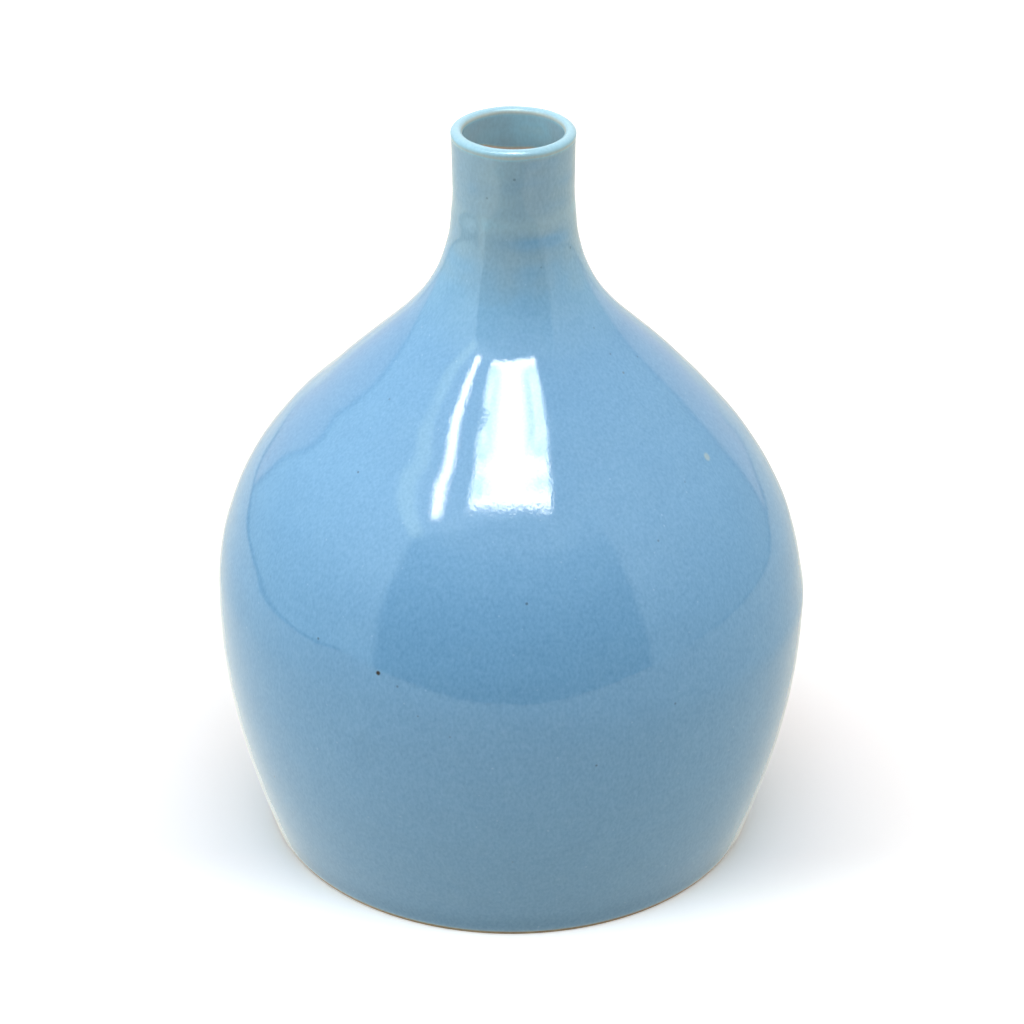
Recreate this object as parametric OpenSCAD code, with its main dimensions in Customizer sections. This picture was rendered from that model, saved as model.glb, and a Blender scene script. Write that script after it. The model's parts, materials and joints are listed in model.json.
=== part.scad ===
// Ceramic bud vase: a wheel-thrown stoneware bottle with a narrow neck, coated in sky-blue glaze.
// Units are millimetres. The vase stands on z = 0 with its axis on the Z axis.
// Every solid is a round one, so each is a half-section turned once about Z.

/* [Overall] */
// Height from the table to the top of the glazed lip
vase_h = 171.2; // [168:0.2:185]
// Widest diameter, across the belly
belly_d = 134.2; // [124:0.2:142]
// Height of the widest place
belly_z = 57; // [50:1:64]

/* [Foot] */
// Diameter that the outer surface comes down to at the table
foot_d = 112.6; // [104:0.2:120]
// Outward lean of the wall above the foot, in degrees from upright
foot_lean = 16; // [8:1:22]
// Width of the ring that the vase stands on
foot_ring_w = 9; // [5:0.5:14]
// Depth of the turned hollow inside that ring
foot_recess = 2.5; // [1:0.5:4]
// Bevel turned on the outer edge of the foot
foot_bevel = 0.6; // [0.3:0.1:0.8]

/* [Shoulder] */
// Diameter where the dome turns over into the sweep up to the neck
shoulder_d = 82.6; // [76:0.2:88]
// Height of that place
shoulder_z = 110; // [106:1:114]
// Inward slope of the shoulder there, in degrees from upright
shoulder_slope = 43; // [38:1:48]

/* [Neck] */
// Outer diameter at the slimmest part of the neck
neck_d = 26.5; // [25.5:0.1:27.5]
// Height where the sweep ends and the neck runs straight
neck_z = 158; // [154:1:161]
// Diameter of the glazed opening
mouth_d = 22; // [20:0.1:22.4]
// Thickness of the rounded lip, glaze included
lip_t = 2.4; // [2:0.1:3]
// Height of the joint under the neck collar
joint_z = 149; // [144:0.5:152]
// Thickness of the layer of slip in that joint
slip_t = 0.6; // [0.4:0.1:1]

/* [Wall] */
// Thickness of the floor above the turned hollow
floor_t = 5; // [4:0.5:8]
// Thickness of the clay wall just above the floor
foot_wall = 6; // [4:0.5:8]
// Thickness of the clay wall at the belly
belly_wall = 4.6; // [3.5:0.1:6]
// Thickness of the clay wall at the shoulder
shoulder_wall = 3.8; // [3:0.1:5]
// Rounding where the floor meets the wall inside
floor_round = 9; // [5:1:12]

/* [Glaze] */
// Thickness of the glaze coat
glaze_t = 0.4; // [0.3:0.05:0.5]
// Height of the bare clay line left above the table
bare_line = 1; // [0.9:0.1:2.5]
// How far the glaze runs down inside the mouth
glaze_depth = 9; // [6:0.5:10]

/* [Hidden] */
$fn = 180;

GLAZE_BLUE = [0.51, 0.71, 0.84];
BARE_CLAY = [0.80, 0.68, 0.52];
SLIP_CLAY = [0.70, 0.56, 0.42];

ARC_STEPS = 14; // straight runs that stand for each curved stretch of the wall
COLLAR_STEPS = 4; // the same for the short end of the sweep on the collar
LIP_STEPS = 10; // the same for the half-round of the lip
CORNER_STEPS = 6; // the same for the corner between floor and wall
BORE_GAP = 0.5; // the curved inner wall ends this far outside the bore that it runs into

bore_r = mouth_d / 2 + glaze_t; // the bare clay of the neck, behind the glaze
lip_r = (mouth_d + lip_t) / 2; // centre of the lip's half-round, from the axis
lip_z = vase_h - lip_t / 2; // and its height
clay_lip_r = lip_t / 2 - glaze_t; // radius of the half-round of clay under the glaze
cavity_floor = foot_recess + floor_t;
glaze_end_z = lip_z - glaze_depth;

// Unit vector at an angle from upright, leaning outwards when the angle is positive
function lean(angle) = [sin(angle), cos(angle)];

// The wall's outline is three cubic curves: the flank, the dome and the sweep up to the neck. Each is
// [start, pull, pull, end], where a pull is how far the curve holds its direction at that end.
FLANK_PULLS = [8.5, 27];
DOME_PULLS = [29.5, 11];
SWEEP_PULLS = [22.5, 27];
function cubic(from, lean_from, to, lean_to, pulls) =
  [from, from + pulls[0] * lean(lean_from), to - pulls[1] * lean(lean_to), to];
foot_point = [foot_d / 2, 0];
belly_point = [belly_d / 2, belly_z];
shoulder_point = [shoulder_d / 2, shoulder_z];
neck_point = [neck_d / 2, neck_z];
flank = cubic(foot_point, foot_lean, belly_point, 0, FLANK_PULLS);
dome = cubic(belly_point, 0, shoulder_point, -shoulder_slope, DOME_PULLS);
sweep = cubic(shoulder_point, -shoulder_slope, neck_point, 0, SWEEP_PULLS);

// Point and direction of travel at share t of a cubic curve
function curve_point(c, t) =
  pow(1 - t, 3) * c[0] + 3 * pow(1 - t, 2) * t * c[1] + 3 * (1 - t) * t * t * c[2] + pow(t, 3) * c[3];
function curve_way(c, t) =
  pow(1 - t, 2) * (c[1] - c[0]) + 2 * (1 - t) * t * (c[2] - c[1]) + t * t * (c[3] - c[2]);

// Share of the way along a rising curve at which it passes a height, found by halving
function share_at(c, z, low = 0, high = 1, turns = 30) =
  let (middle = (low + high) / 2)
    turns == 0 ? middle
    : curve_point(c, middle).y < z ? share_at(c, z, middle, high, turns - 1)
    : share_at(c, z, low, middle, turns - 1);

// A station on the outline: [point on the glaze, unit vector square to it pointing into the wall]
function station(c, t) =
  let (way = curve_way(c, t)) [curve_point(c, t), [-way.y, way.x] / norm(way)];
function stations(c, from, to, steps) =
  [for (i = [0:steps]) station(c, from + (to - from) * i / steps)];

// The stations of each piece. Neighbours share the station at their joint, so they meet face to face.
joint_share = share_at(sweep, joint_z);
slip_top_share = share_at(sweep, joint_z + slip_t);
wall_stations = concat(
  stations(flank, share_at(flank, bare_line), 1, ARC_STEPS),
  stations(dome, 1 / ARC_STEPS, 1, ARC_STEPS - 1),
  stations(sweep, 1 / ARC_STEPS, joint_share, ARC_STEPS - 1)
);
slip_stations = [station(sweep, joint_share), station(sweep, slip_top_share)];
collar_stations = stations(sweep, slip_top_share, 1, COLLAR_STEPS);

// The points at a depth below the outer surface, for a list of stations
function skin(list, depth) = [for (s = list) s[0] + depth * s[1]];
function reversed(list) = [for (i = [len(list) - 1:-1:0]) list[i]];

// Thickness of the clay at a height: it thins evenly from the floor to the joint
joint_point = skin(slip_stations, glaze_t)[0];
slip_top = skin(slip_stations, glaze_t)[1];
function wall_at(z) = lookup(z, [
  [0, foot_wall], [belly_z, belly_wall], [shoulder_z, shoulder_wall], [joint_point.y, joint_point.x - bore_r]
]);

// Half-section of the hollow inside the body, from the axis up to the joint
inner_wall = [
  for (s = wall_stations)
    let (p = s[0] + (glaze_t + wall_at(s[0].y)) * s[1])
      if (p.y > cavity_floor + floor_round && p.x > bore_r + BORE_GAP) p
];
corner_centre = [inner_wall[0].x - floor_round, cavity_floor + floor_round];
floor_corner = [
  for (i = [0:CORNER_STEPS])
    let (a = 90 * i / CORNER_STEPS) corner_centre + floor_round * [sin(a), -cos(a)]
];

// Half-round of the lip, of a radius, from the outside over the top to the inside
function lip_arc(r) = [
  for (i = [0:LIP_STEPS]) let (a = 180 * i / LIP_STEPS) [lip_r, lip_z] + r * [cos(a), sin(a)]
];

module turned(outline) {
  rotate_extrude() polygon(outline);
}

// Thrown body: turned foot, floor, belly and shoulder, up to the joint under the neck
module clay_body() {
  foot_r = skin(wall_stations, glaze_t)[0].x;
  ring_r = foot_r - foot_ring_w;
  color(BARE_CLAY) turned(concat(
    [
      [0, foot_recess], [ring_r - foot_recess, foot_recess], [ring_r, 0],
      [foot_r - foot_bevel, 0], [foot_r, foot_bevel]
    ],
    skin(wall_stations, glaze_t),
    [[bore_r, joint_point.y]],
    reversed(inner_wall),
    reversed(floor_corner),
    [[0, cavity_floor]]
  ));
}

// Slip that lutes the collar to the body: a thin flat ring, level with both walls
module joint_slip() {
  color(SLIP_CLAY) turned([joint_point, slip_top, [bore_r, slip_top.y], [bore_r, joint_point.y]]);
}

// Neck thrown as a separate collar, with its straight bore and its half-round lip
module neck_collar() {
  color(BARE_CLAY) turned(concat(
    skin(collar_stations, glaze_t),
    lip_arc(clay_lip_r),
    [[bore_r, slip_top.y]]
  ));
}

// One coat of glaze: from the bare line at the foot, over the lip, to its edge inside the mouth
module glaze_coat() {
  outside = concat(wall_stations, collar_stations);
  color(GLAZE_BLUE) turned(concat(
    skin(outside, 0),
    lip_arc(lip_t / 2),
    [[mouth_d / 2, glaze_end_z + glaze_t], [bore_r, glaze_end_z]],
    reversed(lip_arc(clay_lip_r)),
    reversed(skin(outside, glaze_t))
  ));
}

clay_body();
neck_collar();
joint_slip();
glaze_coat();
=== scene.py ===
"""Looks of the ceramic bud vase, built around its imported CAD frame. Metres, +Z up, the viewer at -Y.

Each turned piece follows the outline of its CAD node, with the slight unevenness of a pot thrown by hand.
"""
import json
import math

import bpy
import numpy as np
from mathutils import Euler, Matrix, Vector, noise


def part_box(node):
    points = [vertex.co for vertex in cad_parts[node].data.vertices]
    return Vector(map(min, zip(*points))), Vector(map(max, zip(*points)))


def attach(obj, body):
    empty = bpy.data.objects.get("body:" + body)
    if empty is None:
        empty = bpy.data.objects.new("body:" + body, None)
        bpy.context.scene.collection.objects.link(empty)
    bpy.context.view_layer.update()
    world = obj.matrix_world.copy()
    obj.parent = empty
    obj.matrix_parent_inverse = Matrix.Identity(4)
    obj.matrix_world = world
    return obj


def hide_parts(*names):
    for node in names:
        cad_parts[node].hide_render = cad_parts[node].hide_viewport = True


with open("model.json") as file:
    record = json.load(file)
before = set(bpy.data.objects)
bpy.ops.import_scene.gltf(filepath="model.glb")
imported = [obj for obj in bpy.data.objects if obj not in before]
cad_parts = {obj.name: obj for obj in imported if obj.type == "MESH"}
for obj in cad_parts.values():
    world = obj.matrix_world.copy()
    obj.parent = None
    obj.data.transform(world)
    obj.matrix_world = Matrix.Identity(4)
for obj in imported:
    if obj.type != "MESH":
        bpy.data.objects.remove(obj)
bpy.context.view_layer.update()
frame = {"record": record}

MM = 0.001

# Outline of the glazed outside, as in the CAD: radius and height where its three curves meet
FOOT = (56.3 * MM, 0.0)
BELLY = (67.1 * MM, 57.0 * MM)
SHOULDER = (41.3 * MM, 110.0 * MM)
NECK = (13.25 * MM, 158.0 * MM)
FOOT_LEAN, SHOULDER_LEAN = 16, -43  # degrees from upright
FLANK_PULLS = (8.5 * MM, 27.0 * MM)
DOME_PULLS = (29.5 * MM, 11.0 * MM)
SWEEP_PULLS = (22.5 * MM, 27.0 * MM)

# Lip, mouth and wall
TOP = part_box("glaze_coat")[1].z
BARE_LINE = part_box("glaze_coat")[0].z
JOINT_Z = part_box("joint_slip")[0].z
SLIP_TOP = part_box("joint_slip")[1].z
MOUTH_R = frame["record"]["mounts"][0]["dims"]["r_mm"] * MM
LIP_T = 2.4 * MM
LIP_R = MOUTH_R + LIP_T / 2
LIP_Z = TOP - LIP_T / 2
GLAZE_T = 0.4 * MM
BORE_R = MOUTH_R + GLAZE_T
GLAZE_DEPTH = 9.0 * MM
BORE_GAP = 0.5 * MM  # the curved inner wall ends this far outside the bore that it runs into
FLOOR_T, FLOOR_ROUND = 5.0 * MM, 9.0 * MM
CLAY_WALL = ((0, 6.0), (57, 4.6), (110, 3.8), (149, 2.1))  # height and thickness of the clay, in mm
FOOT_RING, FOOT_RECESS, FOOT_BEVEL = 9.0 * MM, 2.5 * MM, 0.6 * MM

# How far the axis wanders to the right of upright, by height, in mm: the left shoulder is the fuller one
SWAY = (
    (0, 0), (55, 0), (75, -0.5), (90, -0.85), (100, -0.75), (109, -0.1), (118, 0.2), (150, 0.15), (171, 0),
)

SEGMENTS = 360
STEP = 1.2 * MM  # spacing of the rings of vertices on surfaces that show
FINE_STEP = 0.4 * MM  # and close to the lip and inside the mouth, where the glaze's depth changes quickly
HIDDEN_STEP = 4.0 * MM  # and on the faces between glaze and clay


# ---------------------------------------------------------------- outline

def lean(degrees):
    angle = math.radians(degrees)
    return np.array([math.sin(angle), math.cos(angle)])


def cubic(start, start_lean, end, end_lean, pulls, steps=200):
    """Points along a cubic curve that leaves and arrives at the given leans from upright."""
    start, end = np.array(start), np.array(end)
    near, far = start + pulls[0] * lean(start_lean), end - pulls[1] * lean(end_lean)
    t = np.linspace(0, 1, steps)[:, None]
    return (1 - t) ** 3 * start + 3 * (1 - t) ** 2 * t * near + 3 * (1 - t) * t * t * far + t ** 3 * end


OUTSIDE = np.vstack([
    cubic(FOOT, FOOT_LEAN, BELLY, 0, FLANK_PULLS),
    cubic(BELLY, 0, SHOULDER, SHOULDER_LEAN, DOME_PULLS)[1:],
    cubic(SHOULDER, SHOULDER_LEAN, NECK, 0, SWEEP_PULLS)[1:],
    [[LIP_R + LIP_T / 2, LIP_Z]],
])


def even(points, step):
    """The same line with its points spaced evenly, about a step apart."""
    points = np.array(points)
    way = np.concatenate([[0], np.cumsum(np.linalg.norm(np.diff(points, axis=0), axis=1))])
    count = max(2, round(way[-1] / step) + 1)
    at = np.linspace(0, way[-1], count)
    return np.column_stack([np.interp(at, way, points[:, k]) for k in (0, 1)])


def wall(low, high, depth, step):
    """The outside between two heights, moved into the wall by a depth (a number or a function of height)."""
    way = np.gradient(OUTSIDE, axis=0)
    inward = np.column_stack([-way[:, 1], way[:, 0]]) / np.linalg.norm(way, axis=1)[:, None]
    depths = depth(OUTSIDE[:, 1]) if callable(depth) else np.full(len(OUTSIDE), depth)
    line = OUTSIDE + depths[:, None] * inward
    ends = [[np.interp(z, line[:, 1], line[:, 0]), z] for z in (low, high)]
    inside = line[(line[:, 1] > low) & (line[:, 1] < high)]
    return even(np.vstack([ends[:1], inside, ends[1:]]), step)


def arc(centre, radius, start, end, steps):
    """Points on an arc; angles in degrees from the outward direction."""
    angles = np.radians(np.linspace(start, end, steps + 1))
    return np.array(centre) + radius * np.column_stack([np.cos(angles), np.sin(angles)])


# ---------------------------------------------------------------- unevenness of a thrown pot

def bump(value, centre, width):
    """A smooth hump of height 1 at the centre, about two widths across."""
    return np.exp(-((value - centre) / width) ** 2)


def around(angle, centre, width):
    """A hump around a direction in degrees (0 is the right, -90 the front), with its width in radians."""
    return bump(np.angle(np.exp(1j * (angle - math.radians(centre)))), 0, width)


def climb(value, start, length):
    """0 up to a start, then evenly up to 1 over a length."""
    return np.clip((value - start) / length, 0, 1)


def drift(x, y, z, size, seed):
    """Smooth random values, about -1 to 1, that vary over a size: one length, or (across, up)."""
    across, up = size if isinstance(size, tuple) else (size, size)
    shift = 17.3 * seed
    points = np.column_stack([x.ravel() / across, y.ravel() / across, z.ravel() / up]) + shift
    return np.array([noise.noise(p) for p in points.tolist()]).reshape(x.shape)


def sway(z):
    """How far the axis has wandered to the right at a height, eased between the given heights."""
    heights, shifts = np.array(SWAY).T * MM
    step = np.clip(np.searchsorted(heights, z, side="right") - 1, 0, len(heights) - 2)
    t = np.clip((z - heights[step]) / (heights[step + 1] - heights[step]), 0, 1)
    return shifts[step] + (shifts[step + 1] - shifts[step]) * t * t * (3 - 2 * t)


def relief(x, y, z):
    """How far the wall stands out from the outline, in metres: each term is a height times where it shows."""
    angle = np.arctan2(y, x)
    dents = 0.05 * MM * drift(x, y, z, 30 * MM, 1) + 0.02 * MM * drift(x, y, z, 10 * MM, 2)
    throwing_rings = 0.015 * MM * np.sin(2 * np.pi * z / (8.5 * MM) + angle)
    belly_corner = 0.25 * MM * bump(z, 60 * MM, 3.5 * MM) * around(angle, 0, 0.7)
    front_ridge = 0.015 * MM * bump(z, 122 * MM, 1 * MM) * around(angle, -100, 0.5)
    # These fade out over 12 mm towards the foot and the lip
    body = climb(z, 0, 12 * MM) * climb(-z, -LIP_Z, 12 * MM)
    swelling_at_joint = 0.12 * MM * bump(z, 152 * MM, 2.5 * MM)
    hollow_below_it = 0.05 * MM * bump(z, 147 * MM, 2 * MM)
    bead_on_lip = 0.12 * MM * climb(np.hypot(x, y), LIP_R, 1 * MM) * bump(z, LIP_Z + 0.2 * MM, 0.8 * MM)
    on_body = body * (dents + throwing_rings + belly_corner + front_ridge)
    return on_body + swelling_at_joint - hollow_below_it + bead_on_lip


# The glaze thins on the way up the neck, between these heights and by this share
THIN_FROM, THIN_TO = 126 * MM, 150 * MM
NECK_THINNING = 0.28
LIP_DEPTH = 0.5  # depth of the glaze on the lip
MOUTH_EDGE = 8.2 * MM  # how far below the centre of the lip's rounding the glaze ends inside the mouth


def glaze_depth(x, y, z):
    """Depth of the glaze over the clay, 1 where it is usual: it thins over edges and pools in hollows. Inside
    the mouth it is also lowered as painted light, which makes the inside paler, most on its back wall.
    """
    angle = np.arctan2(y, x)
    inside = (z > SHOULDER[1]) & (np.hypot(x, y) < LIP_R)
    up_neck = climb(z, THIN_FROM, THIN_TO - THIN_FROM)
    # Inside the mouth the glaze is made thinner and so paler, most on the back wall that faces the opening:
    # in part painted light, for the light that falls in through the mouth.
    usual = 1 - NECK_THINNING * up_neck - inside * (0.08 + 0.14 * around(angle, 80, 0.6))
    over_joint = 0.08 * bump(z, 154.8 * MM, 2.2 * MM)
    under_joint = (0.03 + 0.12 * around(angle, -60, 0.5)) * bump(z, 150 * MM, 1.5 * MM)
    right_side = 0.06 * up_neck * around(angle, -12, 0.35)
    front_left = 0.07 * up_neck * around(angle, -105, 0.35)
    runs = 0.05 * up_neck * drift(x, y, z, (4 * MM, 14 * MM), 3)
    bands = 0.015 * up_neck * np.sin(2 * np.pi * z / (6.5 * MM) + 1)
    clouds = 0.02 * drift(x, y, z, 7 * MM, 4) + 0.06 * up_neck * drift(x, y, z, (9 * MM, 3 * MM), 5)
    pool_at_foot = 0.25 * bump(z, BARE_LINE + 2.5 * MM, 3 * MM)
    edge_at_foot = 0.6 * bump(z, BARE_LINE, 0.5 * MM)
    thinner = over_joint + right_side + front_left + edge_at_foot
    depth = usual + under_joint + runs + bands + clouds + pool_at_foot - thinner
    # The lip is thinly covered, and thinnest along both of its edges
    on_lip = climb(z, LIP_Z - 0.7 * MM, 0.6 * MM)
    outer_edge = 0.30 * ~inside * bump(z, LIP_Z - 0.45 * MM, 0.5 * MM)
    inner_edge = 0.27 * inside * bump(z, LIP_Z + 0.35 * MM, 0.4 * MM)
    depth = depth + (LIP_DEPTH - depth) * on_lip - outer_edge - inner_edge
    # Inside the mouth the coat fades out at an edge that is higher at the back than at the front
    far_left, far_right = around(angle, 140, 0.5), around(angle, 65, 0.3)
    edge = LIP_Z - MOUTH_EDGE + 2.1 * MM * far_left + 0.5 * MM * far_right
    return np.where(inside, depth * climb(z, edge, 0.5 * MM), depth)


def lift(x, y, z):
    """How far the wall near the lip stands above its even height: the rim is a little wavy."""
    return 0.25 * MM * drift(x, y, z, (9 * MM, 60 * MM), 8) * climb(z, 160 * MM, 8 * MM)


# ---------------------------------------------------------------- meshes

def turned(name, loop, closed):
    """A mesh turned from a half-section: a closed ring, or an open line that starts and ends on the axis."""
    loop = np.array(loop)
    rings = loop if closed else loop[1:-1]
    count = len(rings)
    angles = np.arange(SEGMENTS) * 2 * np.pi / SEGMENTS
    r, z = rings[:, :1], np.repeat(rings[:, 1:], SEGMENTS, axis=1)
    x, y = r * np.cos(angles), r * np.sin(angles)
    depth = glaze_depth(x, y, z)
    out = r + relief(x, y, z)
    rise = lift(x, y, z)
    x, y, z = out * np.cos(angles) + sway(z), out * np.sin(angles), z + rise
    vertices = np.column_stack([x.ravel(), y.ravel(), z.ravel()])
    here = np.arange(SEGMENTS)
    beside = (here + 1) % SEGMENTS
    faces = []
    for i in range(count if closed else count - 1):
        a, b = i * SEGMENTS, (i + 1) % count * SEGMENTS
        faces += np.column_stack([a + here, a + beside, b + beside, b + here]).tolist()
    if not closed:
        poles = len(vertices) + np.arange(2)
        vertices = np.vstack([vertices, [[0, 0, loop[0, 1]], [0, 0, loop[-1, 1]]]])
        last = (count - 1) * SEGMENTS
        faces += np.column_stack([np.full(SEGMENTS, poles[0]), beside, here]).tolist()
        faces += np.column_stack([np.full(SEGMENTS, poles[1]), last + here, last + beside]).tolist()
    mesh = bpy.data.meshes.new(name)
    mesh.from_pydata(vertices.tolist(), [], faces)
    mesh.validate()
    mesh.shade_smooth()
    if name == "glaze":
        layer = mesh.attributes.new("glaze_depth", "FLOAT", "POINT")
        layer.data.foreach_set("value", depth.ravel())
    piece = bpy.data.objects.new(name, mesh)
    bpy.context.scene.collection.objects.link(piece)
    return piece


def clay_thickness(z):
    """Depth of the inner wall below the outside: the glaze and the clay at a height."""
    heights, depths = np.array(CLAY_WALL).T * MM
    return GLAZE_T + np.interp(z, heights, depths)


def glaze_piece():
    """The coat: outside from the bare line up, over the lip, down into the mouth and back along the clay."""
    under_lip = LIP_Z - 4 * MM
    outside = wall(BARE_LINE + GLAZE_T, under_lip, 0, STEP)
    outside = np.vstack([outside, wall(under_lip, LIP_Z, 0, FINE_STEP)[1:]])
    lip = arc((LIP_R, LIP_Z), LIP_T / 2, 0, 180, 20)
    inside = even([(MOUTH_R, LIP_Z), (MOUTH_R, LIP_Z - GLAZE_DEPTH + GLAZE_T)], FINE_STEP)
    clay_lip = arc((LIP_R, LIP_Z), LIP_T / 2 - GLAZE_T, 180, 0, 8)
    clay_side = wall(BARE_LINE, LIP_Z, GLAZE_T, HIDDEN_STEP)[::-1]
    # The point that rounds off the coat's lower edge
    edge = (outside[0] + clay_side[-1]) / 2 + (0.1 * MM, -0.1 * MM)
    return turned("glaze", np.vstack([
        outside, lip[1:], inside[1:], [(BORE_R, LIP_Z - GLAZE_DEPTH)], clay_lip, clay_side[1:], [edge],
    ]), closed=True)


def body_piece():
    """The thrown body: turned foot, wall up to the joint, and the hollow inside."""
    outer = wall(BARE_LINE, JOINT_Z, GLAZE_T, HIDDEN_STEP)
    foot_r = outer[0, 0]
    ring_r = foot_r - FOOT_RING
    floor_z = FOOT_RECESS + FLOOR_T
    inner = wall(floor_z + FLOOR_ROUND, JOINT_Z - 2 * MM, clay_thickness, STEP)
    corner = arc((inner[0, 0] - FLOOR_ROUND, floor_z + FLOOR_ROUND), FLOOR_ROUND, -90, 0, 12)
    underside = even([(0, FOOT_RECESS), (ring_r - FOOT_RECESS, FOOT_RECESS)], STEP)
    ring = even([(ring_r, 0), (foot_r - FOOT_BEVEL, 0)], STEP)
    bevel = arc((foot_r - FOOT_BEVEL, FOOT_BEVEL), FOOT_BEVEL, -90, 0, 4)[1:]
    floor = even([(0, floor_z), corner[0]], STEP)[::-1]
    return turned("body", np.vstack([
        underside, ring, bevel, outer, [(BORE_R, JOINT_Z)],
        inner[inner[:, 0] > BORE_R + BORE_GAP][::-1], corner[::-1][1:-1], floor,
    ]), closed=False)


def collar_piece():
    """The neck collar under the glaze, with its bare bore."""
    return turned("collar", np.vstack([
        wall(SLIP_TOP, LIP_Z, GLAZE_T, STEP),
        arc((LIP_R, LIP_Z), LIP_T / 2 - GLAZE_T, 0, 180, 8)[1:],
        even([(BORE_R, LIP_Z), (BORE_R, SLIP_TOP)], STEP)[1:],
    ]), closed=True)


def slip_piece():
    """The ring of slip in the joint."""
    side = wall(JOINT_Z, SLIP_TOP, GLAZE_T, HIDDEN_STEP)
    return turned("slip_ring", np.vstack([side, [(BORE_R, SLIP_TOP), (BORE_R, JOINT_Z)]]), closed=True)


# ---------------------------------------------------------------- materials

class Nodes:
    """Short calls for building a material's node tree. Coordinates are the object's own, in metres."""

    def __init__(self, name):
        self.material = bpy.data.materials.new(name)
        self.material.use_nodes = True
        self.tree = self.material.node_tree
        self.shader = self.tree.nodes["Principled BSDF"]
        self.place = self.add("TexCoord").outputs["Object"]

    def add(self, kind, sockets=None, **settings):
        """A node of a kind, with values or links for its sockets and settings of its own."""
        node = self.tree.nodes.new("ShaderNode" + kind)
        for key, value in settings.items():
            setattr(node, key, value)
        for key, value in (sockets or {}).items():
            self.set(node.inputs[key], value)
        return node

    def set(self, socket, value):
        """Gives a socket a value, or a link from another socket."""
        if isinstance(value, bpy.types.NodeSocket):
            self.tree.links.new(value, socket)
        else:
            socket.default_value = value

    def math(self, operation, a, b=0.0):
        """The result of a Math node."""
        return self.add("Math", {0: a, 1: b}, operation=operation).outputs[0]

    def stretched(self, across, up):
        """The object's coordinates divided by a size across and a size up."""
        scale = (1 / across, 1 / across, 1 / up)
        return self.add("Mapping", {"Vector": self.place, "Scale": scale}).outputs[0]

    def noise(self, across, up=None, detail=2.0):
        """Noise about -1 to 1, whose blotches are about the given size."""
        where = self.stretched(across, up or across)
        sockets = {"Vector": where, "Scale": 1.0, "Detail": detail, "Roughness": 0.5}
        value = self.add("TexNoise", sockets).outputs[0]
        return self.math("MULTIPLY", self.math("SUBTRACT", value, 0.5), 4.0)

    def spots(self, spacing, radius, share):
        """Round spots, 1 at the centre: one in each cell of a spacing, of which a share show."""
        cell = self.add("TexVoronoi", {"Vector": self.stretched(spacing, spacing), "Scale": 1.0})
        near = self.ramp(cell.outputs["Distance"], ((0.5 * radius / spacing, 1), (radius / spacing, 0)))
        number = self.add("SeparateColor", {0: cell.outputs["Color"]}).outputs[0]
        return self.math("MULTIPLY", near, self.math("LESS_THAN", number, share))

    def graded(self, value, start, end, low=0.0, high=1.0, kind="LINEAR"):
        """Goes from low to high as a value goes from start to end, and stays level outside them."""
        sockets = {"Value": value, "From Min": start, "From Max": end, "To Min": low, "To Max": high}
        return self.add("MapRange", sockets, interpolation_type=kind).outputs[0]

    def ramp(self, value, stops):
        """Piecewise curve through (position, grey or colour) stops."""
        node = self.add("ValToRGB", {"Fac": value})
        elements = node.color_ramp.elements
        while len(elements) < len(stops):
            elements.new(1.0)
        for element, (position, colour) in zip(elements, stops):
            element.position = position
            rgb = colour if isinstance(colour, tuple) else (colour,) * 3
            element.color = (*rgb, 1)
        return node.outputs[0]

    def mix(self, share, a, b, blend="MIX"):
        """Colour a turning into b by a share. Sockets 6 and 7 and output 2 are the node's colour ones."""
        node = self.add("Mix", {0: share}, data_type="RGBA", blend_type=blend)
        for socket, colour in ((node.inputs[6], a), (node.inputs[7], b)):
            self.set(socket, (*colour, 1) if isinstance(colour, tuple) else colour)
        return node.outputs[2]

    def speck(self, azimuth, height, radius):
        """A spot of 1 at a place on the outside, fading at its rim. Azimuth in degrees, 0 is the front."""
        ends = {0: self.place, 1: on_outside(azimuth, height)}
        distance = self.add("VectorMath", ends, operation="DISTANCE").outputs["Value"]
        return self.graded(distance, 0.5 * radius, radius, 1, 0)

    def scaled(self, colour, factor):
        """A colour times a factor, which may take it past 1."""
        return self.add("VectorMath", {0: colour, "Scale": factor}, operation="SCALE").outputs[0]

    def bump(self, height, depth):
        """Surface relief from a height of about -1 to 1, times a depth in metres."""
        node = self.add("Bump", {"Height": height, "Distance": depth, "Strength": 1.0})
        self.set(self.shader.inputs["Normal"], node.outputs[0])


def on_outside(azimuth, height):
    """The point of the glazed outside at an azimuth (degrees; 0 is the front, 90 the right) and a height."""
    radius = np.interp(height, OUTSIDE[:, 1], OUTSIDE[:, 0])
    angle = math.radians(azimuth - 90)
    shift = float(sway(np.array([height]))[0])
    return (radius * math.cos(angle) + shift, radius * math.sin(angle), height)


# Colour of the glaze by its depth over the clay, from bare clay to a deep pool
GLAZE_COLOURS = (
    (0.00, (0.95, 0.60, 0.42)),
    (0.25, (0.60, 0.60, 0.52)),
    (0.50, (0.42, 0.64, 0.71)),
    (0.62, (0.41, 0.54, 0.59)),
    (0.72, (0.36, 0.50, 0.58)),
    (0.86, (0.28, 0.48, 0.64)),
    (1.00, (0.21, 0.40, 0.592)),
    (1.45, (0.145, 0.32, 0.48)),
)
DEEPEST = GLAZE_COLOURS[-1][0]
IRON = (0.03, 0.02, 0.015)
RUST = (0.16, 0.17, 0.14)
PALE_FLECK = (0.55, 0.72, 0.86)
GRAIN = (0.028, 0.035, 0.038)  # how far the fine grain swings the colour each way
GLAZE_RELIEF, CLAY_RELIEF = 0.003 * MM, 0.02 * MM  # depth of the fine unevenness of each surface

# Small spots all over: spacing, radius and the share of places that have one; then how strong they are
FLECKS, FLECK_STRENGTH = (4 * MM, 0.3 * MM, 0.7), 0.25
RUST_SPOTS, RUST_STRENGTH = (11 * MM, 0.4 * MM, 0.3), 0.5

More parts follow.
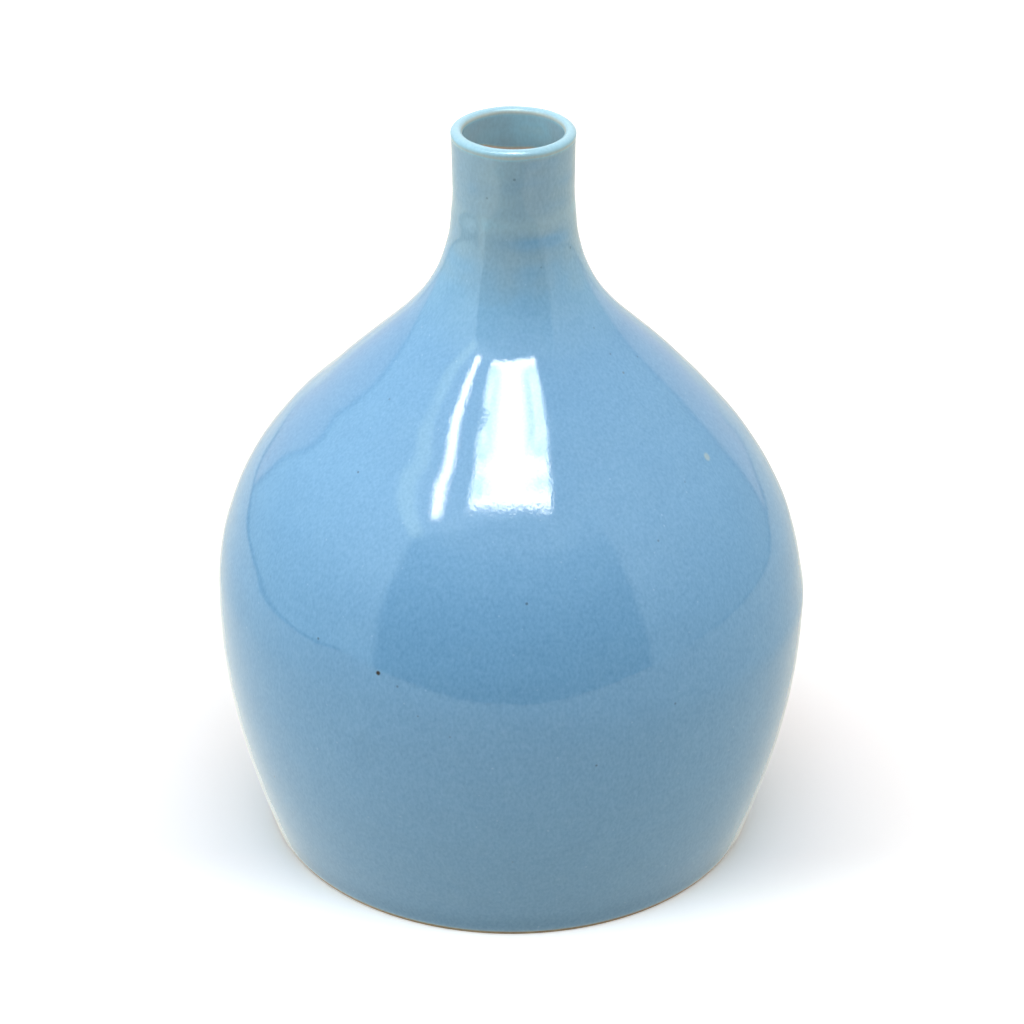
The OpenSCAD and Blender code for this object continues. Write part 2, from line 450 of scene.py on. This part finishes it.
# A darker cloud low on the left and a pale stain high on the right: azimuth, height and radius, then colour
# and strength
SMUDGE = ((-28, 51 * MM, 5 * MM), (0.12, 0.27, 0.42), 0.12)
STAIN = ((64, 103 * MM, 1.2 * MM), (0.60, 0.62, 0.50), 0.5)

# Iron specks that show one by one: azimuth in degrees (0 is the front, 90 the right), height and diameter
# in mm, and how dark each is
IRON_SPECKS = (
    (-25, 71, 1.3, 1.0), (4, 88, 0.8, 0.5), (-39, 74, 0.8, 0.5), (-45, 105, 0.7, 0.5),
    (16, 51, 0.7, 0.45), (-21, 69, 0.7, 0.4), (36, 95, 0.7, 0.35), (32, 62, 0.7, 0.35),
    (-51, 117, 0.7, 0.3), (54, 125, 0.7, 0.3), (54, 130, 0.6, 0.25), (-17, 63, 0.6, 0.3),
    (69, 122, 0.7, 0.3), (-25, 160, 0.7, 0.3), (1, 164.8, 0.8, 0.35), (51, 102, 0.6, 0.25),
    (-11, 59, 0.6, 0.25), (24, 144.6, 0.6, 0.25), (60, 146.5, 0.8, 0.3),
)


def glaze_material():
    """Glossy sky-blue glaze: paler where it is thin and, as painted light, inside the mouth, with a fine
    grain, pale flecks and iron specks.
    """
    n = Nodes("blue_glaze")
    depth = n.add("Attribute", attribute_name="glaze_depth").outputs["Fac"]
    depth = n.math("ADD", depth, n.math("MULTIPLY", n.noise(2.5 * MM), 0.012))
    stops = [(at / DEEPEST, colour) for at, colour in GLAZE_COLOURS]
    colour = n.ramp(n.math("DIVIDE", depth, DEEPEST), stops)
    colour = n.scaled(colour, n.math("ADD", 1.0, n.math("MULTIPLY", n.noise(9 * MM), 0.01)))
    colour = n.mix(1.0, colour, n.scaled(GRAIN, n.noise(0.6 * MM, 1.0 * MM, detail=1.0)), "ADD")
    colour = n.mix(n.math("MULTIPLY", n.spots(*FLECKS), FLECK_STRENGTH), colour, PALE_FLECK)
    for place, tint, strength in (SMUDGE, STAIN):
        colour = n.mix(n.math("MULTIPLY", n.speck(*place), strength), colour, tint)
    colour = n.mix(n.math("MULTIPLY", n.spots(*RUST_SPOTS), RUST_STRENGTH), colour, RUST)
    for azimuth, height, diameter, strength in IRON_SPECKS:
        spot = n.speck(azimuth, height * MM, diameter / 2 * MM)
        colour = n.mix(n.math("MULTIPLY", spot, strength), colour, IRON)
    n.set(n.shader.inputs["Base Color"], colour)
    # Thin glaze is less smooth
    thin = n.ramp(depth, ((0.45, 0.24), (0.60, 0.0)))
    usual = n.ramp(n.noise(6 * MM), ((0.0, 0.045), (1.0, 0.065)))
    n.set(n.shader.inputs["Roughness"], n.math("ADD", thin, usual))
    n.shader.inputs["IOR"].default_value = 1.5
    fine_runs = n.math("MULTIPLY", n.noise(0.5 * MM, 2.5 * MM), 0.9)
    n.bump(n.math("ADD", n.noise(3.2 * MM), fine_runs), GLAZE_RELIEF)
    return n.material


def clay_material(name, dark, light):
    """Fired clay: matt and sandy, with darker grains."""
    n = Nodes(name)
    sand = n.math("ADD", 0.5, n.math("MULTIPLY", n.noise(1.5 * MM, detail=4.0), 0.3))
    n.set(n.shader.inputs["Base Color"], n.ramp(sand, ((0.0, dark), (1.0, light))))
    n.set(n.shader.inputs["Roughness"], n.ramp(n.noise(0.5 * MM), ((0.0, 0.75), (1.0, 0.9))))
    n.bump(n.noise(0.3 * MM, detail=3.0), CLAY_RELIEF)
    return n.material


# ---------------------------------------------------------------- studio

# Camera: place, degrees below level, degrees of roll, and lens and sensor in mm
EYE = (0.0001, -0.6300, 0.4264)
EYE_PITCH = 28.99
EYE_ROLL = 0.28
EYE_LENS = 111.06
EYE_SENSOR = 36

# The floor that the camera sees
FLOOR_RADIUS = 2.5
FLOOR_COLOUR = (0.98, 0.87, 0.80)

# The table that the vase sees: corners of its paper, and the dark gap between it and the walls of the tent
TABLE = (
    (-0.42, 0.9), (-0.42, -0.14), (-0.56, -0.32), (0.0, -0.33),
    (0.50, -0.42), (0.80, -0.34), (0.52, 0.2), (0.52, 0.9),
)
TABLE_Z, TABLE_COLOUR = -0.1 * MM, (0.48, 0.43, 0.345)
GAP, GAP_Z, GAP_COLOUR = 0.08, -1 * MM, (0.05, 0.05, 0.05)

# Glows, each as (start, end, strength at the start, strength at the end). The floor's hide its shadow in
# front, by y, and further away, by the distance from the vase's axis. The table's are by distance and by x.
FLOOR_GLOW_IN_FRONT = (-0.02, -0.10, 0.0, 0.9)
FLOOR_GLOW_AWAY = (0.07, 0.16, 0.0, 0.2)
TABLE_GLOW_AWAY = (0.05, 0.20, 0.8, 0.35)
TABLE_GLOW_ACROSS = (-0.08, 0.08, 1.0, 0.65)
TABLE_GLOW_COLOUR = (1.0, 0.96, 0.86)

# Brightness of the studio by elevation in degrees, on each side of the vase, and the tints of its walls
LOWEST, HIGHEST = -20, 90
LEFT_WALL = ((-20, 0.9), (10, 1.2), (25, 1.9), (45, 2.3), (65, 2.0), (80, 0.8))
RIGHT_WALL = ((-20, 0.7), (10, 0.8), (25, 1.3), (45, 1.5), (65, 1.1), (80, 0.8))
ROOM_IN_FRONT = ((0, 0.0), (15, 0.05), (25, 0.35), (45, 1.1), (65, 1.0), (80, 0.8))
SWEEP_BEHIND = ((-10, 0.8), (15, 0.9), (35, 1.3), (55, 1.3), (70, 1.1))
COOL, NEUTRAL, WARM = (0.80, 1.02, 1.13), (0.86, 0.99, 1.01), (1.1, 1.0, 0.95)
WALLS_BY_AZIMUTH = (60, 130, 1.2, 0.75)  # both walls are brighter in front: a factor, as for the glows
# Azimuths in degrees where the tent's side walls end, in front and behind
FRONT_LEFT, FRONT_RIGHT, BACK_LEFT, BACK_RIGHT = -51, 54, -136, 133
OPENING_TOP = 45  # elevation up to which the tent is open in front
LEFT_EDGE_LEAN = 0.45  # how far the left back edge comes forward for each degree up
# The dark line along the back edges: its half width and its top in degrees, its share and its grey
EDGE, EDGE_TOP, EDGE_SHARE, EDGE_GREY = 1.0, 28, 0.7, (0.1, 0.1, 0.1)

# On the ceiling, places are given by x / z ("across") and -y / z ("near") of the direction to them. Each
# pair of numbers is where something begins and ends.
LEFT_WALL_END = -0.73  # the cooler wall reaches this far over the ceiling,
LEFT_WALL_FRONT = -30  # and this far towards the front, as an azimuth in degrees
# Seen in reflections only: a pale glow around the window, and a brighter strip where the cooler wall ends
GLARE_ACROSS, GLARE_NEAR, GLARE = (-0.75, 0.36), (0.15, 0.70), (0.9, 1.1, 1.3)
STRIP_ACROSS, STRIP_NEAR, STRIP = (-0.90, -0.74), (0.1, 0.70), (1.5, 1.8, 1.0)
# The window, with its far end narrower on the left, and a slanting slit of light beside it
WINDOW_ACROSS, WINDOW_FAR, SLIT_ACROSS, SLIT_FAR = (-0.32, 0.25), 0.17, (-0.53, -0.44), 0.2
NEAR_END = 0.65
NEAR_END_SLANT = -0.16  # both draw back towards the left
WINDOW_RIGHT_SLANT = 0.15
WINDOW_STEP_AT, WINDOW_STEP = 0.402, 0.10
SLIT_SLANT = 0.16
LOWEST_LIGHT = 20  # elevation below which neither shows
# As a source of light the window is soft; in reflections it has streaked flanks around a white middle
WINDOW_LIGHT = (2.4, 3.15, 4.35)
FLANK_DARK, FLANK_PALE, WHITE = (8.0, 10.5, 11.0), (20.0, 22.0, 20.0), (24.0, 24.0, 24.0)
MIDDLE_ACROSS, WHITE_FROM, RAGGED = (-0.15, 0.11), 0.59, 0.06
STREAKS_ACROSS, STREAKS_NEAR = 40.0, 8.0  # how many streaks there are in one unit each way


def camera():
    """The photo's view."""
    data = bpy.data.cameras.new("camera")
    data.lens = EYE_LENS
    data.sensor_width = EYE_SENSOR
    eye = bpy.data.objects.new("camera", data)
    eye.location = EYE
    aim = Euler((math.radians(90 - EYE_PITCH), 0, 0)).to_quaternion()
    roll = Euler((0, 0, math.radians(EYE_ROLL))).to_quaternion()
    eye.rotation_euler = (aim @ roll).to_euler()
    bpy.context.scene.collection.objects.link(eye)
    bpy.context.scene.camera = eye


def staged(name, rim, height, colour):
    """A flat sheet of paper that isn't part of the vase, and the nodes of its material."""
    mesh = bpy.data.meshes.new(name)
    mesh.from_pydata([(x, y, height) for x, y in rim], [], [list(range(len(rim)))])
    sheet = bpy.data.objects.new(name, mesh)
    bpy.context.scene.collection.objects.link(sheet)
    n = Nodes(name + "_paper")
    n.shader.inputs["Base Color"].default_value = (*colour, 1)
    n.shader.inputs["Roughness"].default_value = 0.9
    mesh.materials.append(n.material)
    return sheet, n


def white_floor():
    """A floor for the camera only, whitened like the photo's background except close to the vase."""
    rim = arc((0, 0), FLOOR_RADIUS, 0, 360, 96)[:-1].tolist()
    sheet, n = staged("floor", rim, 0.0, FLOOR_COLOUR)
    sheet.visible_diffuse = False
    sheet.visible_glossy = False
    sheet.visible_shadow = False
    _, y, _ = n.add("SeparateXYZ", {0: n.place}).outputs
    in_front = n.graded(y, *FLOOR_GLOW_IN_FRONT, kind="SMOOTHSTEP")
    distance = n.add("VectorMath", {0: n.place}, operation="LENGTH").outputs["Value"]
    away = n.graded(distance, *FLOOR_GLOW_AWAY)
    n.shader.inputs["Emission Color"].default_value = (1, 1, 1, 1)
    n.set(n.shader.inputs["Emission Strength"], n.math("ADD", in_front, away))


def table():
    """A greyer table, for the vase only, that ends in front of it, and the dark gap around the table."""
    sheet, n = staged("floor_bounce", TABLE, TABLE_Z, TABLE_COLOUR)
    sheet.visible_camera = False
    # Its reflection in the glaze is brighter than the light that it gives, as on an overexposed white table
    distance = n.add("VectorMath", {0: n.place}, operation="LENGTH").outputs["Value"]
    x, _, _ = n.add("SeparateXYZ", {0: n.place}).outputs
    glow = n.math("MULTIPLY", n.graded(distance, *TABLE_GLOW_AWAY), n.graded(x, *TABLE_GLOW_ACROSS))
    glow = n.math("MULTIPLY", glow, n.add("LightPath").outputs["Is Glossy Ray"])
    n.shader.inputs["Emission Color"].default_value = (*TABLE_GLOW_COLOUR, 1)
    n.set(n.shader.inputs["Emission Strength"], glow)
    wider = [(x + math.copysign(GAP, x), y) for x, y in TABLE]
    gap, _ = staged("floor_gap", wider, GAP_Z, GAP_COLOUR)
    gap.visible_camera = False
    gap.visible_diffuse = False


class Sky(Nodes):
    """The studio around the vase, painted by direction. Masks are 1 inside something and 0 outside it."""

    def __init__(self):
        self.world = bpy.data.worlds.new("studio")
        bpy.context.scene.world = self.world
        self.world.use_nodes = True
        self.tree = self.world.node_tree
        way = self.add("SeparateXYZ", {0: self.add("TexCoord").outputs["Generated"]})
        right, behind, up = way.outputs
        toward = self.math("MULTIPLY", behind, -1.0)
        degree = math.degrees(1)
        self.azimuth = self.math("MULTIPLY", self.math("ARCTAN2", right, toward), degree)
        self.turned = self.math("ABSOLUTE", self.azimuth)
        self.elevation = self.math("MULTIPLY", self.math("ARCSINE", up), degree)
        # Where the direction meets a ceiling one unit up, kept finite for level and falling directions
        height = self.math("MAXIMUM", up, 0.02)
        self.across = self.math("DIVIDE", right, height)
        self.near = self.math("DIVIDE", toward, height)
        path = self.add("LightPath").outputs
        self.in_glaze = path["Is Glossy Ray"]
        self.in_view = path["Is Camera Ray"]

    def above(self, value, low, soft):
        """Mask of the values above a limit, with an edge of a softness."""
        return self.graded(value, low - soft / 2, low + soft / 2, kind="SMOOTHSTEP")

    def below(self, value, high, soft):
        """Mask of the values below a limit."""
        return self.graded(value, high + soft / 2, high - soft / 2, kind="SMOOTHSTEP")

    def between(self, value, limits, soft):
        """Mask of the values between two limits."""
        low, high = limits
        return self.all_of(self.above(value, low, soft), self.below(value, high, soft))

    def all_of(self, first, *others):
        """Mask of where all of these masks are."""
        for other in others:
            first = self.math("MULTIPLY", first, other)
        return first

    def slanted(self, value, other, share):
        """A value plus a share of another one."""
        return self.math("ADD", value, self.math("MULTIPLY", other, share))

    def by_elevation(self, levels, tint):
        """Brightness by elevation, from (elevation, level) pairs, times a tint."""
        # A colour ramp stops at 1, so its colours are divided by the brightest one
        top = max(level for _, level in levels) * max(tint)
        span = HIGHEST - LOWEST
        stops = [((at - LOWEST) / span, tuple(level * t / top for t in tint)) for at, level in levels]
        return self.scaled(self.ramp(self.graded(self.elevation, LOWEST, HIGHEST), stops), top)


def tent(sky):
    """Light of the pale walls: a cooler one on the left, open in front, with a sweep of paper behind."""
    light = sky.by_elevation(RIGHT_WALL, NEUTRAL)
    left = sky.below(sky.across, LEFT_WALL_END, soft=0.04)
    left = sky.all_of(left, sky.below(sky.azimuth, LEFT_WALL_FRONT, soft=3))
    light = sky.mix(left, light, sky.by_elevation(LEFT_WALL, COOL))
    light = sky.scaled(light, sky.graded(sky.turned, *WALLS_BY_AZIMUTH))
    opening = sky.between(sky.azimuth, (FRONT_LEFT, FRONT_RIGHT), soft=2)
    opening = sky.all_of(opening, sky.below(sky.elevation, OPENING_TOP, soft=14))
    light = sky.mix(opening, light, sky.by_elevation(ROOM_IN_FRONT, COOL))
    # Both back edges, as angles in degrees that are zero on the edge and grow towards the back
    past_left = sky.math("SUBTRACT", BACK_LEFT, sky.slanted(sky.azimuth, sky.elevation, -LEFT_EDGE_LEAN))
    past_right = sky.math("SUBTRACT", sky.azimuth, BACK_RIGHT)
    past = sky.math("MAXIMUM", past_left, past_right)
    light = sky.mix(sky.above(past, 0, soft=1), light, sky.by_elevation(SWEEP_BEHIND, WARM))
    line = sky.all_of(sky.between(past, (-EDGE, EDGE), soft=1.5), sky.below(sky.elevation, EDGE_TOP, soft=10))
    return sky.mix(sky.math("MULTIPLY", line, EDGE_SHARE), light, EDGE_GREY)


def glare(sky, light):
    """The same light with the pale areas that only reflections show."""
    around_window = sky.all_of(
        sky.between(sky.across, GLARE_ACROSS, soft=0.1),
        sky.between(sky.near, GLARE_NEAR, soft=0.04),
        sky.in_glaze,
    )
    light = sky.mix(around_window, light, GLARE, "ADD")
    strip = sky.all_of(
        sky.between(sky.across, STRIP_ACROSS, soft=0.06),
        sky.between(sky.near, STRIP_NEAR, soft=0.1),
        sky.in_glaze,
    )
    return sky.mix(strip, light, STRIP, "ADD")


def window_and_slit(sky, light):
    """The same light with the window and the slit overhead."""
    back = sky.math("MAXIMUM", sky.math("MULTIPLY", sky.across, NEAR_END_SLANT), 0.0)
    reach = sky.all_of(
        sky.below(sky.math("ADD", sky.near, back), NEAR_END, soft=0.03),
        sky.above(sky.elevation, LOWEST_LIGHT, soft=2),
    )
    left, right = WINDOW_ACROSS
    step = sky.math("MULTIPLY", sky.below(sky.near, WINDOW_STEP_AT, soft=0.012), WINDOW_STEP)
    window = sky.all_of(
        sky.above(sky.math("SUBTRACT", sky.across, step), left, soft=0.03),
        sky.below(sky.slanted(sky.across, sky.near, -WINDOW_RIGHT_SLANT), right, soft=0.03),
        sky.above(sky.near, WINDOW_FAR, soft=0.03),
        reach,
    )
    light = sky.mix(window, light, WINDOW_LIGHT)
    # Streaks and a ragged near part, as the glaze shows them
    stretched = {
        0: sky.math("MULTIPLY", sky.across, STREAKS_ACROSS), 1: sky.math("MULTIPLY", sky.near, STREAKS_NEAR),
    }
    grain = sky.add("CombineXYZ", stretched).outputs[0]
    streaks = sky.add("TexNoise", {"Vector": grain, "Scale": 1.0, "Detail": 3.0}).outputs[0]
    flank = sky.mix(sky.ramp(streaks, ((0.35, 0.0), (0.65, 1.0))), FLANK_DARK, FLANK_PALE)
    light = sky.mix(sky.all_of(window, sky.in_glaze), light, flank)
    middle = sky.between(sky.across, MIDDLE_ACROSS, soft=0.16)
    near_part = sky.above(sky.slanted(sky.near, streaks, RAGGED), WHITE_FROM, soft=0.04)
    white = sky.math("MAXIMUM", middle, near_part)
    light = sky.mix(sky.all_of(window, white, sky.in_glaze), light, WHITE)
    slit = sky.all_of(
        sky.between(sky.slanted(sky.across, sky.near, SLIT_SLANT), SLIT_ACROSS, soft=0.02),
        sky.above(sky.near, SLIT_FAR, soft=0.04),
        reach,
    )
    return sky.mix(sky.all_of(slit, sky.in_glaze), light, WHITE)


def studio():
    """A tent of pale walls with a window and a slit of light overhead. The camera itself sees only white."""
    sky = Sky()
    light = window_and_slit(sky, glare(sky, tent(sky)))
    light = sky.mix(sky.in_view, light, (1.0, 1.0, 1.0))
    sky.set(sky.tree.nodes["Background"].inputs["Color"], light)


# ---------------------------------------------------------------- assembly

# Dark and light grains of the fired clay and of the slip
CLAY = ((0.36, 0.22, 0.12), (0.62, 0.46, 0.30))
SLIP = ((0.30, 0.19, 0.10), (0.42, 0.28, 0.16))

bpy.context.scene.view_settings.view_transform = "Standard"
camera()
white_floor()
table()
studio()

for make, node, slot, material in (
    (glaze_piece, "glaze_coat", "blue_glaze", glaze_material()),
    (body_piece, "clay_body", "bare_clay", clay_material("bare_clay", *CLAY)),
    (collar_piece, "neck_collar", "bare_clay", clay_material("neck_clay", *CLAY)),
    (slip_piece, "joint_slip", "slip", clay_material("slip", *SLIP)),
):
    piece = make()
    piece.data.materials.append(material)
    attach(piece, "root")
    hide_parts(node)
